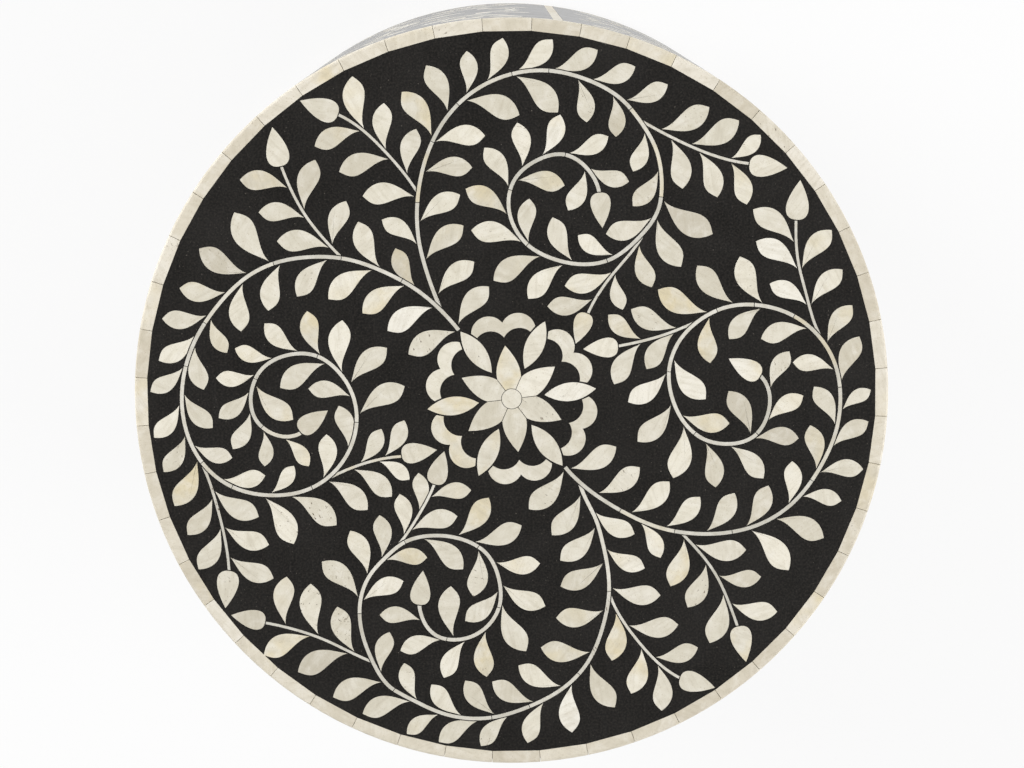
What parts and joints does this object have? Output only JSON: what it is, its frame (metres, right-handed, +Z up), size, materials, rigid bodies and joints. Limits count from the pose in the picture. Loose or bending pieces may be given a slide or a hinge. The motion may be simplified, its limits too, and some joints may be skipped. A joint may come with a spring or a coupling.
{
  "type": "side table",
  "caption": "Round drum side table with a flat top, its dark resin faces inlaid with bone vine scrolls, a rosette and a segmented bone rim.",
  "frame": {"origin": "centre of the drum on the floor under its glides", "axes": "+Z up the drum's axis, +Y towards the edge that is at the top of the picture"},
  "size_m": [0.45, 0.45, 0.42],
  "materials": {
    "bone": "polished bone",
    "bone_edging": "sanded bone",
    "resin": "polished dark resin",
    "wood": "planed softwood",
    "plywood": "sanded plywood",
    "steel": "zinc plated",
    "nylon": "matt nylon"
  },
  "bodies": {
    "root": {"base_panel": "plywood", "base_panel_screws": "steel", "base_ring": "wood", "base_ring_screws": "steel", "glide_1": "nylon", "glide_2": "nylon", "glide_3": "nylon", "glide_4": "nylon", "glide_screws": "steel", "left_scroll_buds": "bone", "left_scroll_leaves": "bone", "left_scroll_stems": "bone", "lower_scroll_buds": "bone", "lower_scroll_leaves": "bone", "lower_scroll_stems": "bone", "middle_ring": "wood", "middle_ring_screws": "steel", "right_scroll_buds": "bone", "right_scroll_leaves": "bone", "right_scroll_stems": "bone", "rosette_disc": "bone", "rosette_lancets": "bone", "rosette_petals": "bone", "rosette_scallops": "bone", "side_buds": "bone", "side_leaves": "bone", "side_lower_band": "bone_edging", "side_resin_1": "resin", "side_resin_2": "resin", "side_resin_3": "resin", "side_resin_4": "resin", "side_rosettes": "bone", "side_stems": "bone", "side_strips": "bone_edging", "side_upper_band": "bone_edging", "skin_left": "plywood", "skin_right": "plywood", "top_board": "wood", "top_resin": "resin", "top_rim": "bone_edging", "top_screws": "steel", "upper_ring": "wood", "upper_ring_screws": "steel", "upper_scroll_buds": "bone", "upper_scroll_leaves": "bone", "upper_scroll_stems": "bone", "upright_1": "wood", "upright_2": "wood", "upright_3": "wood", "upright_4": "wood", "upright_5": "wood", "upright_6": "wood", "upright_7": "wood", "upright_8": "wood"}
  },
  "joints": []
}
